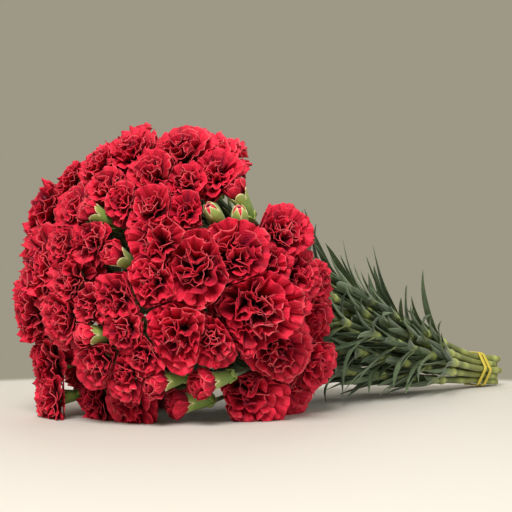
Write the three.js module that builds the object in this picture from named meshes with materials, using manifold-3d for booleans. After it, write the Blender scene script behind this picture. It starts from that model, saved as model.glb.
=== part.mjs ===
// A tied bunch of spray carnations lying on its side: a domed head of ruffled blooms, half-open and
// closed buds, leafy stems and a rubber band near the cut ends.
// Millimetres, Z up. The stems run along +X to their cut ends, and the head and the ends rest on Z = 0.
import * as THREE from 'three';
import Module from 'manifold-3d';

const wasm = await Module();
wasm.setup();

const vec = (x, y, z) => new THREE.Vector3(x, y, z);

// Head of blooms: a ball of this radius, flattened where it lies on the table
const HEAD_CENTRE = vec(0, 0, 103);
const HEAD_RADIUS = 109;
const HEAD_DROP = 103;
const HEAD_SQUARENESS = 3.2;
const HEAD_SPREAD = 105;
const BLOOM_INSET = 9;
const FILL_SPACING = 42;
const FILL_FROM = 14;
const FILL_RADIUS = 27;

// Skyline of the head in sight units. A bloom placed by spacing alone sinks until it is under it
const SKYLINE = [[60, 190], [120, 152], [200, 152], [262, 216], [330, 285]];
const SUNK_MOST = 12;
const SUNK_STEP = 3;

// Sight lines from a far point in front of the head: a bloom is placed by its two angles, in sight units
const SIGHT_POINT = vec(-616.4, -747.1, 101);
const SIGHT_FORWARD = vec(0.682, 0.731, 0);
const SIGHT_RIGHT = vec(0.731, -0.682, 0);
const SIGHT_UNITS = 1334;
const SIGHT_MIDDLE = [256, 275];

// Open blooms: sight x, sight y, radius in sight units
const OPEN = [
  [42, 210, 32], [68, 180, 20], [72, 208, 24], [97, 163, 22], [104, 188, 19], [128, 151, 27],
  [180, 149, 30], [151, 172, 27], [120, 200, 21], [150, 208, 29], [155, 239, 34], [186, 180, 24],
  [187, 210, 23], [217, 178, 27], [283, 233, 29], [232, 255, 38], [194, 268, 44], [270, 264, 22],
  [295, 275, 26], [320, 284, 20], [252, 310, 50], [313, 321, 29], [276, 352, 32], [283, 384, 30],
  [315, 362, 25], [247, 392, 34], [88, 241, 23], [62, 248, 23], [68, 277, 28], [28, 313, 33],
  [62, 318, 29], [91, 306, 18], [114, 300, 27], [151, 281, 30], [126, 333, 24], [141, 354, 21],
  [178, 337, 37], [209, 341, 26], [45, 366, 28], [97, 361, 24], [48, 398, 24], [91, 397, 29],
  [126, 374, 20], [128, 399, 24],
];

// Half-open buds: sight x and y of the red tuft, then of the calyx it grows from
const HALF_OPEN = [
  [90, 212, 110, 222], [230, 187, 246, 205], [115, 255, 122, 262], [88, 335, 104, 338],
  [160, 382, 172, 375], [207, 382, 222, 371], [183, 403, 205, 400],
];

// Closed buds, read the same way
const CLOSED = [
  [207, 208, 213, 214], [239, 210, 241, 224],
];
const HALF_RADIUS = 11;
const CLOSED_RADIUS = 8;
const MOUTH_DEPTH = 0.62;

// Bloom in radii of its head: the rings of its core as [out, up], then its two layers of petals.
// A petal's rim runs through [side, out, bend]: part of its half width, distance from the axis, wave
const OPEN_SHAPE = {
  count: 5,
  core: [[0.26, 0], [0.27, 0.13], [0.17, 0.36], [0.15, 0.46]],
  outer: { rim: [[-1, 0.95, 1], [0, 1, -1], [1, 0.95, 0.7]], up: 0.5, wave: 0.12 },
  inner: { rim: [[-0.9, 0.55, 0.6], [0.9, 0.55, -0.6]], up: 0.98, wave: 0.12 },
};
const SMALL_SHAPE = { ...OPEN_SHAPE, count: 4 };
const SMALL_BELOW = 28;
const HALF_SHAPE = {
  count: 4,
  core: [[0.42, 0], [0.46, 0.25], [0.3, 0.5], [0.24, 0.62]],
  outer: { rim: [[-1, 0.69, 1], [0, 0.72, -1], [1, 0.69, 0.7]], up: 1.05, wave: 0.1 },
  inner: { rim: [[-0.9, 0.34, 0.6], [0.9, 0.34, -0.6]], up: 1.5, wave: 0.1 },
};

// Bundle of stems: its axis sinks from the head's centre, and runs straight from the band to the ends
const END_AT = 384;
const END_HEIGHT = 13.1;
const END_SLOPE = 0.105;
const RISE = 49.6;
const SINK = 1.34;
const PITCH = 6;
const STEM_RADIUS = 2.8;
const STEM_TOP_RADIUS = 2.0;
const BAND_AT = 349;
const TIED_FROM = 341;
const EASED_AT = 296;
const SPREAD = 0.0121;
const STEM_SIDES = 5;
const BRANCH_SIDES = 4;
const BUD_SIDES = 6;
const BRANCH_STEPS = 1;

// Rings of slots: how many stems, their distance in pitches, where they fork, polar angle of their spray
const RINGS = [
  { count: 1, fork: 40, polar: 0 },
  { count: 6, fork: 66, polar: 42 },
  { count: 12, fork: 104, polar: 84 },
];

// Joints of a stem, where the leaves grow
const NODES_AT = [296, 266, 236, 204, 172, 140];
const NODE_SWELL = 1.3;
const SWOLLEN_FROM = 250;
const NODE_HALF = 5;

// Leaves
const LEAF_WIDTH = 8.5;
const LEAF_KEEL = 1.7;
const LEAF_STEPS = 2;
const LEAF_OUTLINE = [0.36, 1];
const LEAF_CHECKS = 26;
const LEAF_ROOT = 18;
const LEAF_TRIES = 140;
const LEAF_ROOM = 4.4;

// Band
const BAND_WIDTH = 3.2;
const BAND_THICK = 1.3;
const BAND_SLANT = 2.2;
const BAND_POINTS = 12;

// Gaps and blades
const GAP = 0.35;
const PETAL = 0.7;
const FUSE = 5;
const MOST_FUSED = 5;
const MOST_BODIES = 38;
const SOFT = 0.72;

const SEED = 20261;

// Seeded numbers between 0 and 1
function makeRandom(seed) {
  let state = (seed * 2654435761) >>> 0;
  return () => {
    state = (state * 1664525 + 1013904223) >>> 0;
    return state / 4294967296;
  };
}

const radians = (degrees) => degrees * Math.PI / 180;
const mix = (a, b, t) => a + (b - a) * t;
const moved = (point, direction, distance) => point.clone().addScaledVector(direction, distance);

// Level of the head's surface, moved inward: below 0 inside, 0 on it
function headLevel(point, inset) {
  const p = point.clone().sub(HEAD_CENTRE);
  const flat = Math.hypot(p.x, p.y) / (HEAD_RADIUS - inset);
  const reach = p.z > 0 ? HEAD_RADIUS : HEAD_DROP;
  const power = p.z > 0 ? 2 : HEAD_SQUARENESS;
  return flat ** power + (Math.abs(p.z) / (reach - inset)) ** power - 1;
}

function sightLine(x, y) {
  const line = SIGHT_FORWARD.clone();
  line.addScaledVector(SIGHT_RIGHT, (x - SIGHT_MIDDLE[0]) / SIGHT_UNITS);
  line.z += (SIGHT_MIDDLE[1] - y) / SIGHT_UNITS;
  return line.normalize();
}

// Whether a point shows over the skyline
function overSkyline(point) {
  const way = point.clone().sub(SIGHT_POINT);
  const depth = way.dot(SIGHT_FORWARD);
  const x = SIGHT_MIDDLE[0] + SIGHT_UNITS * way.dot(SIGHT_RIGHT) / depth;
  const y = SIGHT_MIDDLE[1] - SIGHT_UNITS * way.z / depth;
  return SKYLINE.slice(1).some(([toX, toY], i) => {
    const [fromX, fromY] = SKYLINE[i];
    return x > fromX && x <= toX && y < mix(fromY, toY, (x - fromX) / (toX - fromX));
  });
}

// First point of the head's surface on a sight line, or the nearest the line comes to it
function onHead(x, y) {
  const line = sightLine(x, y);
  let nearest = null;
  let lowest = Infinity;
  for (let distance = 780; distance < 1130; distance += 1) {
    const point = moved(SIGHT_POINT, line, distance);
    const level = headLevel(point, BLOOM_INSET);
    if (level < lowest) {
      lowest = level;
      nearest = point;
    }
    if (level <= 0) break;
  }
  return nearest;
}

// Point of the head's surface in a direction from its centre
function towardHead(direction) {
  const level = headLevel(moved(HEAD_CENTRE, direction, 1), BLOOM_INSET) + 1;
  const power = direction.z > 0 ? 2 : HEAD_SQUARENESS;
  return moved(HEAD_CENTRE, direction, level ** (-1 / power));
}

// Way a bloom faces: out from a point behind the head's centre, level near the table
function facing(point, lean) {
  const out = point.clone().sub(vec(58, 0, 96)).normalize();
  if (lean) out.multiplyScalar(0.75).addScaledVector(lean, 1);
  out.z = Math.max(out.z, -0.3 + 0.3 * Math.max(0, 1 - point.z / 60));
  return out.normalize();
}

function placeHeads() {
  const heads = [];
  for (const [x, y, size] of OPEN) {
    const place = onHead(x, y);
    const radius = size * place.distanceTo(SIGHT_POINT) / SIGHT_UNITS;
    heads.push({ kind: 'open', place, radius: Math.max(radius, 14.5) });
  }
  for (const bud of HALF_OPEN) {
    heads.push({ kind: 'half', place: onHead(bud[0], bud[1]), radius: HALF_RADIUS, lean: budLean(bud) });
  }
  for (const bud of CLOSED) {
    heads.push({ kind: 'closed', place: onHead(bud[0], bud[1]), radius: CLOSED_RADIUS, lean: budLean(bud) });
  }
  spreadHeads(heads);
  fillHead(heads);
  heads.forEach((head, number) => {
    head.number = number;
    head.axis = facing(head.place, head.lean);
    head.mouth = moved(head.place, head.axis, -MOUTH_DEPTH * head.radius);
    head.calyx = head.kind === 'open' ? Math.min(Math.max(0.3 * head.radius, 4.8), 7) : 5.6;
    head.foot = moved(head.mouth, head.axis, -3.2 * head.calyx);
  });
  return heads;
}

// Lean of a bud, from its calyx to its tip across the sight line
function budLean([x, y, fromX, fromY]) {
  const lean = SIGHT_RIGHT.clone().multiplyScalar((x - fromX) / 22);
  lean.z = (fromY - y) / 22;
  return lean;
}

// Pushes apart the heads that stand too close
function spreadHeads(heads) {
  for (let round = 0; round < 40; round += 1) {
    for (const a of heads) {
      for (const b of heads) {
        const between = b.place.clone().sub(a.place);
        const short = Math.min(24, 4 + 0.55 * (a.radius + b.radius)) - between.length();
        if (a === b || short <= 0) continue;
        between.setLength(0.26 * short);
        a.place.sub(between);
        b.place.add(between);
      }
    }
  }
}

// Blooms on the sides out of sight: each at the spot farthest from all others
function fillHead(heads) {
  const spots = [];
  for (let i = 0; i < 900; i += 1) {
    const polar = Math.acos(1 - 2 * (i + 0.5) / 900);
    if (polar > radians(HEAD_SPREAD)) break;
    const turn = i * 2.399963;
    const side = Math.sin(polar);
    const spot = towardHead(vec(-Math.cos(polar), side * Math.cos(turn), side * Math.sin(turn)));
    const inward = HEAD_CENTRE.clone().sub(spot).setLength(SUNK_STEP);
    for (let sunk = 0; sunk < SUNK_MOST && overSkyline(spot); sunk += SUNK_STEP) spot.add(inward);
    if (spot.z > FILL_FROM && !overSkyline(spot)) spots.push(spot);
  }
  const room = (spot) => Math.min(...heads.map((h) => spot.distanceTo(h.place) + FILL_RADIUS - h.radius));
  for (;;) {
    const rooms = spots.map(room);
    const widest = Math.max(...rooms);
    if (widest < FILL_SPACING) return;
    heads.push({ kind: 'open', place: spots[rooms.indexOf(widest)], radius: FILL_RADIUS });
  }
}

// Slots of the stems in the bundle, and the part of the head each stem serves
function placeSlots() {
  const slots = [];
  RINGS.forEach((ring, index) => {
    for (let k = 0; k < ring.count; k += 1) {
      const angle = k * 2 * Math.PI / ring.count;
      const corner = index === 2 && k % 2 === 1 ? Math.sqrt(3) : index;
      const part = ring.polar / HEAD_SPREAD;
      slots.push({
        ring: index,
        angle,
        y: corner * PITCH * Math.cos(angle),
        z: corner * PITCH * Math.sin(angle),
        part: [part * Math.cos(angle), part * Math.sin(angle)],
        fork: ring.fork,
      });
    }
  });
  return slots;
}

function axisHeight(along) {
  const straight = END_HEIGHT + END_SLOPE * (END_AT - along);
  return straight + RISE * Math.max(0, 1 - along / TIED_FROM) ** SINK;
}

function stemPoint(slot, along) {
  const wide = 1 + Math.max(0, TIED_FROM - along) * SPREAD;
  return vec(along, slot.y * wide, axisHeight(along) + slot.z * wide);
}

// Part of the head a bloom's calyx stands in: polar angle as radius, turn about the axis as angle
function headPart(head) {
  const p = head.mouth.clone().sub(HEAD_CENTRE).normalize();
  const polar = Math.acos(-p.x) / radians(HEAD_SPREAD);
  const turn = Math.atan2(p.z, p.y);
  return [polar * Math.cos(turn), polar * Math.sin(turn)];
}

// Each head joins the stem that serves its part of the dome
function makeSprays(heads, slots) {
  for (const slot of slots) slot.heads = [];
  for (const head of heads) {
    const part = headPart(head);
    const apart = slots.map((slot) => Math.hypot(slot.part[0] - part[0], slot.part[1] - part[1]));
    const slot = slots[apart.indexOf(Math.min(...apart))];
    head.spray = slots.indexOf(slot);
    head.line = [...branchPoints(head, slot), head.mouth];
    slot.heads.push(head);
  }
}

// Points of the branch from the stem to a bloom's calyx
function branchPoints(head, slot) {
  const start = stemPoint(slot, slot.fork);
  const reach = 0.4 * start.distanceTo(head.foot);
  const along = stemPoint(slot, slot.fork - 1).sub(start).normalize();
  const first = moved(start, along, reach);
  const last = moved(head.foot, head.axis, -reach);
  return new THREE.CubicBezierCurve3(start, first, last, head.foot).getPoints(BRANCH_STEPS);
}

// Closed solid from corners and the faces between them
function solid(corners, faces) {
  const vertProperties = new Float32Array(corners.flatMap((c) => [c.x, c.y, c.z]));
  const triVerts = new Uint32Array(faces.flat());
  return new wasm.Manifold(new wasm.Mesh({ numProp: 3, vertProperties, triVerts }));
}

// Tube through points with a radius at each, its ends closed flat
function tube(points, radii, sides) {
  const corners = [];
  const faces = [];
  const last = points.length - 1;
  let side = vec(0, 1, 0);
  points.forEach((point, i) => {
    const after = points[Math.min(i + 1, last)].clone().sub(points[Math.min(i, last - 1)]).normalize();
    const before = points[Math.max(i, 1)].clone().sub(points[Math.max(i - 1, 0)]).normalize();
    const way = before.add(after).normalize();
    side = side.addScaledVector(way, -side.dot(way)).normalize().clone();
    const other = way.clone().cross(side);
    for (let k = 0; k < sides; k += 1) {
      const turn = k * 2 * Math.PI / sides;
      const out = side.clone().multiplyScalar(Math.cos(turn)).addScaledVector(other, Math.sin(turn));
      corners.push(moved(point, out, radii[i]));
    }
  });
  for (let i = 0; i < last; i += 1) {
    for (let k = 0; k < sides; k += 1) {
      const next = (k + 1) % sides;
      const [a, b] = [i * sides + k, i * sides + next];
      faces.push([a, b, b + sides], [a, b + sides, a + sides]);
    }
  }
  for (let k = 1; k < sides - 1; k += 1) {
    faces.push([0, k + 1, k], [last * sides, last * sides + k, last * sides + k + 1]);
  }
  return solid(corners, faces);
}

// Plane that keeps a head off a straight run of a stem, a branch or a calyx
function wallBefore(head, line, thick) {
  const near = line.closestPointToPoint(head.place, true, vec(0, 0, 0)).sub(head.place);
  const at = Math.max(near.length() - thick - GAP - PETAL / 2, 4);
  return { normal: near.normalize(), at };
}

// Room of each head: planes toward its neighbours, drawn in by a gap or out where they fuse
function makeRooms(some, heads, strands) {
  for (const head of some) {
    head.walls = [];
    for (const other of heads) {
      const normal = other.place.clone().sub(head.place);
      const apart = normal.length();
      if (other === head || apart > 80) continue;
      const share = apart * head.radius / (head.radius + other.radius);
      const at = other.cluster === head.cluster ? share + FUSE : share - GAP / 2 - PETAL / 2;
      head.walls.push({ normal: normal.normalize(), at });
    }
    for (const strand of strands) {
      if (strand.head !== head) head.walls.push(wallBefore(head, strand.line, strand.thick));
    }
  }
}

// Draws a point in toward the head's middle so that it keeps inside the head's room and above the table
function squash(head, point) {
  const way = point.clone().sub(head.place);
  const reach = way.length();
  way.divideScalar(reach);
  let limit = Infinity;
  for (const wall of head.walls) {
    const slope = wall.normal.dot(way);
    if (slope > 0.02) limit = Math.min(limit, wall.at / slope);
  }
  const part = reach / limit;
  const eased = part < SOFT ? part : SOFT + (1 - SOFT) * (1 - Math.exp((SOFT - part) / (1 - SOFT)));
  const kept = moved(head.place, way, limit === Infinity ? reach : eased * limit);
  const floor = PETAL / 2;
  if (kept.z < floor) kept.lerp(head.place, (floor - kept.z) / (head.place.z - kept.z));
  return kept;
}

// Point of a head by turn about its axis, distance from it and height above its mouth, in radii
function headPoint(head, turn, out, up) {
  const side = vec(0, 0, 1).cross(head.axis).normalize();
  const other = head.axis.clone().cross(side);
  const point = moved(head.mouth, head.axis, up * head.radius);
  point.addScaledVector(side, out * head.radius * Math.cos(turn));
  return point.addScaledVector(other, out * head.radius * Math.sin(turn));
}

// Rim of a fan-shaped petal: its waved middle points, each with the corners on its two faces. The upper
// face is the one the rise points to
function petalRim(head, turn, half, root, rise, layer, up, wave) {
  const rim = layer.rim.map(([side, out, bend]) => {
    return squash(head, headPoint(head, turn + side * half, out, up + bend * wave));
  });
  const thick = rim[0].clone().sub(root).cross(rim[rim.length - 1].clone().sub(root)).setLength(PETAL / 2);
  if (thick.dot(rise) < 0) thick.negate();
  return rim.map((point) => {
    const pressed = point.z < PETAL / 2 + 0.01;
    const half = pressed ? vec(0, 0, Math.sign(thick.z) * PETAL / 2) : thick;
    return [point.clone().add(half), point.clone().sub(half)];
  });
}

// Whether the middle of a rim stands well outside the line between its ends, seen from the petal's root
function rimBulges(corners, first, root) {
  const chord = corners[first].clone().add(corners[first + 4]).multiplyScalar(0.5).sub(root);
  return corners[first + 2].clone().sub(root).dot(chord) > 1.05 * chord.lengthSq();
}

// Layer of petals, each grown out of one face between the two rings of corners, and folded at its middle
// where its rim doesn't bulge
function petalLayer(head, corners, faces, ring, layer, random) {
  const count = layer.count;
  for (let k = 0; k < count; k += 1) {
    const next = (k + 1) % count;
    const [low, high] = [ring + k, ring + count + k];
    const [lowNext, highNext] = [ring + next, ring + count + next];
    const turn = layer.turn + (k + 0.5 + 0.1 * (random() - 0.5)) * 2 * Math.PI / count;
    const root = corners[low].clone().add(corners[highNext]).multiplyScalar(0.5);
    const wave = (random() < 0.5 ? -1 : 1) * layer.wave * (0.6 + 0.8 * random());
    const up = layer.up + layer.wave * (random() - 0.5);
    const first = corners.length;
    const rise = corners[high].clone().sub(corners[low]);
    const half = 0.86 * Math.PI / count;
    corners.push(...petalRim(head, turn, half, root, rise, layer, up, wave).flat());
    const last = corners.length - 2;
    for (let top = first; top < last; top += 2) {
      faces.push([top + 2, top, top + 1], [top + 2, top + 1, top + 3]);
    }
    if (last - first === 4 && rimBulges(corners, first, root)) {
      faces.push([first, first + 2, last], [first + 1, last + 1, first + 3]);
      faces.push([high, first, last], [low, last + 1, first + 1]);
      faces.push([high, last, highNext], [low, lowNext, last + 1]);
    } else {
      const middle = Math.min(first + 2, last);
      faces.push([high, first, middle], [low, middle + 1, first + 1]);
      faces.push([high, middle, highNext], [low, lowNext, middle + 1]);
      if (middle < last) faces.push([highNext, middle, last], [lowNext, last + 1, middle + 1]);
    }
    faces.push([first, high, low], [first, low, first + 1]);
    faces.push([highNext, last, last + 1], [highNext, last + 1, lowNext]);
  }
}

// Bloom: a small core whose faces grow a layer of spreading petals and a crown of upright ones
function bloom(head) {
  const random = makeRandom(SEED + 10 + head.number);
  const grown = head.radius < SMALL_BELOW ? SMALL_SHAPE : OPEN_SHAPE;
  const shape = head.kind === 'open' ? grown : HALF_SHAPE;
  const start = random() * 2 * Math.PI;
  const step = 2 * Math.PI / shape.count;
  const corners = [];
  const faces = [];
  shape.core.forEach(([out, up], ring) => {
    for (let k = 0; k < shape.count; k += 1) {
      const turn = start + (k + (ring > 1 ? 0.5 : 0)) * step;
      corners.push(headPoint(head, turn, out, up + GAP / head.radius));
    }
  });
  const n = shape.count;
  petalLayer(head, corners, faces, 0, { count: n, turn: start, ...shape.outer }, random);
  petalLayer(head, corners, faces, 2 * n, { count: n, turn: start + 0.5 * step, ...shape.inner }, random);
  for (let k = 0; k < n; k += 1) {
    const next = (k + 1) % n;
    faces.push([n + k, n + next, 2 * n + k], [n + next, 2 * n + next, 2 * n + k]);
  }
  for (let k = 1; k < n - 1; k += 1) faces.push([0, k + 1, k], [3 * n, 3 * n + k, 3 * n + k + 1]);
  return solid(corners, faces);
}

// Branch of a head, widened into its calyx, with the whole bud above it where that is still closed
function branch(head, slot) {
  const points = branchPoints(head, slot);
  const radii = points.map((_, i) => mix(1.8, head.kind === 'open' ? 2.4 : 1.5, i / BRANCH_STEPS));
  const size = head.calyx;
  if (head.kind !== 'open') {
    points.push(moved(head.foot, head.axis, 0.7 * size));
    radii.push(0.85 * size);
  }
  points.push(head.mouth);
  radii.push(size);
  if (head.kind === 'closed') {
    points.push(moved(head.mouth, head.axis, 0.9 * size), moved(head.mouth, head.axis, 1.6 * size));
    radii.push(0.8 * size, 0.25 * size);
  }
  return tube(points, radii, head.kind === 'open' ? BRANCH_SIDES : BUD_SIDES);
}

// Stem from its cut end to its fork, swollen at each joint
function stem(slot) {
  const stops = [slot.end, TIED_FROM, slot.ring ? TIED_FROM - 30 : EASED_AT];
  for (const at of slot.joints) {
    if (slot.ring === 2 && at > SWOLLEN_FROM) stops.push(at + NODE_HALF, at, at - NODE_HALF);
    else if (slot.ring === 2 || at > SWOLLEN_FROM) stops.push(at);
  }
  stops.push(slot.fork + 2, slot.fork - 3);
  const points = stops.map((along) => stemPoint(slot, along));
  const radii = stops.map((along) => {
    const thick = mix(STEM_TOP_RADIUS, STEM_RADIUS, Math.min(1, along / BAND_AT));
    const atJoint = slot.ring === 2 && along > SWOLLEN_FROM && slot.joints.includes(along);
    return atJoint || along < slot.fork + 3 ? thick * NODE_SWELL : thick;
  });
  return tube(points, radii, STEM_SIDES);
}

// Pairs of red heads, the closest first
function closePairs(heads) {
  const red = heads.filter((head) => head.kind !== 'closed');
  const pairs = [];
  red.forEach((a, i) => {
    for (const b of red.slice(i + 1)) {
      pairs.push({ a, b, closeness: a.place.distanceTo(b.place) / (a.radius + b.radius) });
    }
  });
  return pairs.sort((p, q) => p.closeness - q.closeness);
}

// Fuses neighbouring blooms where they press on each other and hold together as one body
function fuseHeads(heads, strands) {
  for (const head of heads) head.cluster = [head];
  makeRooms(heads, heads, strands);
  let bodies = heads.filter((head) => head.kind !== 'closed').length;
  for (const { a, b } of closePairs(heads)) {
    if (bodies <= MOST_BODIES) return;
    if (a.cluster === b.cluster || a.cluster.length + b.cluster.length > MOST_FUSED) continue;
    const cluster = [...a.cluster, ...b.cluster];
    const before = cluster.map((head) => head.cluster);
    for (const head of cluster) head.cluster = cluster;
    makeRooms(cluster, heads, strands);
    if (fuse(cluster.map(bloom)).decompose().length === 1) {
      bodies -= 1;
      continue;
    }
    cluster.forEach((head, i) => { head.cluster = before[i]; });
    makeRooms(cluster, heads, strands);
  }
}

// Middle line of a leaf: it leaves the joint along the stem and bends away from it
function leafLine(slot, leaf) {
  const grow = stemPoint(slot, leaf.at - 1).sub(stemPoint(slot, leaf.at + 1)).normalize();
  const out = vec(0, Math.cos(leaf.turn), Math.sin(leaf.turn));
  out.addScaledVector(grow, -out.dot(grow)).normalize();
  const line = { side: grow.clone().cross(out), points: [stemPoint(slot, leaf.at)], backs: [out] };
  for (let i = 1; i <= LEAF_STEPS; i += 1) {
    const angle = mix(leaf.first, leaf.last, (i - 0.5) / LEAF_STEPS);
    const way = grow.clone().multiplyScalar(Math.cos(angle)).addScaledVector(out, Math.sin(angle));
    line.points.push(moved(line.points[i - 1], way, leaf.length / LEAF_STEPS));
    line.backs.push(out.clone().multiplyScalar(Math.cos(angle)).addScaledVector(grow, -Math.sin(angle)));
  }
  return line;
}

// Leaf: a long blade with a keel along its back, drawn to a point
function leafSolid(slot, leaf) {
  const { side, points, backs } = leafLine(slot, leaf);
  const corners = [];
  const faces = [[0, 2, 1]];
  for (let i = 0; i < LEAF_STEPS; i += 1) {
    const half = 0.5 * LEAF_WIDTH * LEAF_OUTLINE[i];
    corners.push(moved(points[i], side, half), moved(points[i], side, -half));
    corners.push(moved(points[i], backs[i], LEAF_KEEL));
  }
  corners.push(points[LEAF_STEPS]);
  for (let i = 0; i < LEAF_STEPS; i += 1) {
    for (let k = 0; k < 3; k += 1) {
      const [a, b] = [3 * i + k, 3 * i + (k + 1) % 3];
      if (i + 1 === LEAF_STEPS) faces.push([a, b, 3 * LEAF_STEPS]);
      else faces.push([a, b, b + 3], [a, b + 3, a + 3]);
    }
  }
  return solid(corners, faces);
}

// Points over a leaf: along its middle and both edges
function leafPoints(slot, leaf) {
  const { side, points } = leafLine(slot, leaf);
  const samples = [];
  for (let i = 1; i <= LEAF_CHECKS; i += 1) {
    const along = i * LEAF_STEPS / LEAF_CHECKS;
    const step = Math.min(Math.floor(along), LEAF_STEPS - 1);
    const middle = points[step].clone().lerp(points[step + 1], along - step);
    for (const k of [-0.5, 0, 0.5]) samples.push(moved(middle, side, k * LEAF_WIDTH));
  }
  return samples;
}

// Whether a leaf stands clear of the table, the blooms, the other sprays and their leaves
function leafHasRoom(samples, index, strands, heads, leaves) {
  if (samples.some((point) => point.z < 2.5)) return false;
  for (const head of heads) {
    const keep = 1.2 * head.radius + 3;
    if (samples.some((point) => point.distanceTo(head.place) < keep)) return false;
  }
  const near = vec(0, 0, 0);
  for (const strand of strands) {
    const own = strand.spray === index;
    if (own && strand.stem) continue;
    for (const point of own ? samples.slice(LEAF_ROOT) : samples) {
      strand.line.closestPointToPoint(point, true, near);
      if (near.distanceTo(point) < strand.thick + LEAF_ROOM / 2) return false;
    }
  }
  for (const other of leaves) {
    const from = other.spray === index ? LEAF_ROOT : 0;
    const [mine, theirs] = [samples.slice(from), other.samples.slice(from)];
    if (mine.some((a) => theirs.some((b) => a.distanceTo(b) < LEAF_ROOM))) return false;
  }
  return true;
}

// Straight runs of all stems and branches
function makeStrands(slots, heads) {
  const strands = [];
  slots.forEach((slot, spray) => {
    for (let at = slot.fork; at < slot.end; at += 20) {
      const line = new THREE.Line3(stemPoint(slot, at), stemPoint(slot, Math.min(at + 20, slot.end)));
      strands.push({ spray, line, thick: 3.3, stem: true });
    }
  });
  for (const head of heads) {
    for (let i = 0; i + 1 < head.line.length; i += 1) {
      const thick = i < BRANCH_STEPS ? 1.8 : head.calyx;
      const line = new THREE.Line3(head.line[i], head.line[i + 1]);
      strands.push({ spray: head.spray, line, thick, head });
    }
  }
  return strands;
}

// Leaves in pairs at the joints, each taken from the first try that has room
function placeLeaves(slots, heads, strands, random) {
  const leaves = [];
  slots.forEach((slot, spray) => {
    const joints = slot.ring === 0 ? [] : slot.joints;
    joints.forEach((at, j) => {
      for (const opposite of [0, 1]) {
        for (let i = 0; i < LEAF_TRIES; i += 1) {
          const base = slot.angle + radians(j % 2 ? 50 : -50) + Math.PI * opposite;
          const leaf = {
            at,
            turn: base + radians(110) * (random() - 0.5),
            first: radians(10 + 18 * random()),
            last: radians(16 + 52 * random()),
            length: 54 + 36 * random(),
            spray,
          };
          leaf.samples = leafPoints(slot, leaf);
          if (!leafHasRoom(leaf.samples, spray, strands, heads, leaves)) continue;
          leaves.push(leaf);
          break;
        }
      }
    });
  });
  return leaves;
}

// One turn of the band round the six corner stems, slanted along the bundle
function bandTurn(shift, slant) {
  const corners = [];
  const faces = [];
  const out = STEM_RADIUS + GAP + 0.25 + BAND_THICK / 2;
  for (let i = 0; i < BAND_POINTS; i += 1) {
    const corner = radians(60 * Math.floor(i / 2));
    const turn = corner + radians(i % 2 ? 22 : -22);
    const x = BAND_AT + shift + slant * Math.cos(turn - 0.7);
    for (const [wide, thick] of [[-0.5, -0.5], [0.5, -0.5], [0.5, 0.5], [-0.5, 0.5]]) {
      const y = 2 * PITCH * Math.cos(corner) + (out + thick * BAND_THICK) * Math.cos(turn);
      const z = 2 * PITCH * Math.sin(corner) + (out + thick * BAND_THICK) * Math.sin(turn);
      corners.push(vec(x + wide * BAND_WIDTH, y, axisHeight(x) + z));
    }
  }
  const total = corners.length;
  for (let i = 0; i < total; i += 4) {
    for (let k = 0; k < 4; k += 1) {
      const [a, b] = [i + k, i + (k + 1) % 4];
      const [c, d] = [(b + 4) % total, (a + 4) % total];
      faces.push([a, b, c], [a, c, d]);
    }
  }
  return solid(corners, faces);
}

const fuse = (parts) => parts.reduce((whole, part) => whole.add(part));
const twoDigits = (number) => String(number).padStart(2, '0');

function material(colour, roughness) {
  return new THREE.MeshStandardMaterial({ color: colour, roughness, metalness: 0 });
}

const GREEN = material(0x7f9a68, 0.6);
const RED = material(0xb5121f, 0.7);
const YELLOW = material(0xd9b63c, 0.5);

function mesh(name, shape, look) {
  const { vertProperties, triVerts } = shape.getMesh();
  const geometry = new THREE.BufferGeometry();
  geometry.setAttribute('position', new THREE.BufferAttribute(vertProperties, 3));
  geometry.setIndex(new THREE.BufferAttribute(triVerts, 1));
  geometry.computeVertexNormals();
  const piece = new THREE.Mesh(geometry, look);
  piece.name = name;
  return piece;
}

function makeBunch() {
  const random = makeRandom(SEED);
  const slots = placeSlots();
  for (const slot of slots) {
    slot.end = END_AT - 18 * random();
    slot.joints = slot.ring === 0 ? [] : NODES_AT.map((at) => at + 14 * (random() - 0.5));
  }
  const heads = placeHeads();
  makeSprays(heads, slots);
  const strands = makeStrands(slots, heads);
  fuseHeads(heads, strands);
  const leaves = placeLeaves(slots, heads, strands, makeRandom(SEED + 1));
  const bunch = new THREE.Group();
  slots.forEach((slot, spray) => {
    const parts = [stem(slot), ...slot.heads.map((head) => branch(head, slot))];
    for (const leaf of leaves) if (leaf.spray === spray) parts.push(leafSolid(slot, leaf));
    bunch.add(mesh(`stem_${twoDigits(spray + 1)}`, fuse(parts), GREEN));
  });
  const red = heads.filter((head) => head.kind !== 'closed');
  const clusters = [...new Set(red.map((head) => head.cluster))];
  clusters.forEach((cluster, index) => {
    bunch.add(mesh(`blooms_${twoDigits(index + 1)}`, fuse(cluster.map(bloom)), RED));
  });
  const band = fuse([bandTurn(-2, BAND_SLANT), bandTurn(2, -BAND_SLANT)]);
  bunch.add(mesh('rubber_band', band, YELLOW));
  return bunch;
}

// Sets the bunch down with the middle of its underside at the origin
const bunch = makeBunch();

const box = new THREE.Box3().setFromObject(bunch);
bunch.position.set(-(box.min.x + box.max.x) / 2, -(box.min.y + box.max.y) / 2, -box.min.z);

export default bunch;
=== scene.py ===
"""A tied bunch of spray carnations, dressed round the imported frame.

Every piece stands where one solid of the frame stands, and replaces it. Lengths are in millimetres, in the
bunch's own axes, until SHIFT moves them into the frame's.
"""
import math
from types import SimpleNamespace

import bpy
import numpy as np
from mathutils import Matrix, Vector
from numpy.linalg import norm


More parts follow.
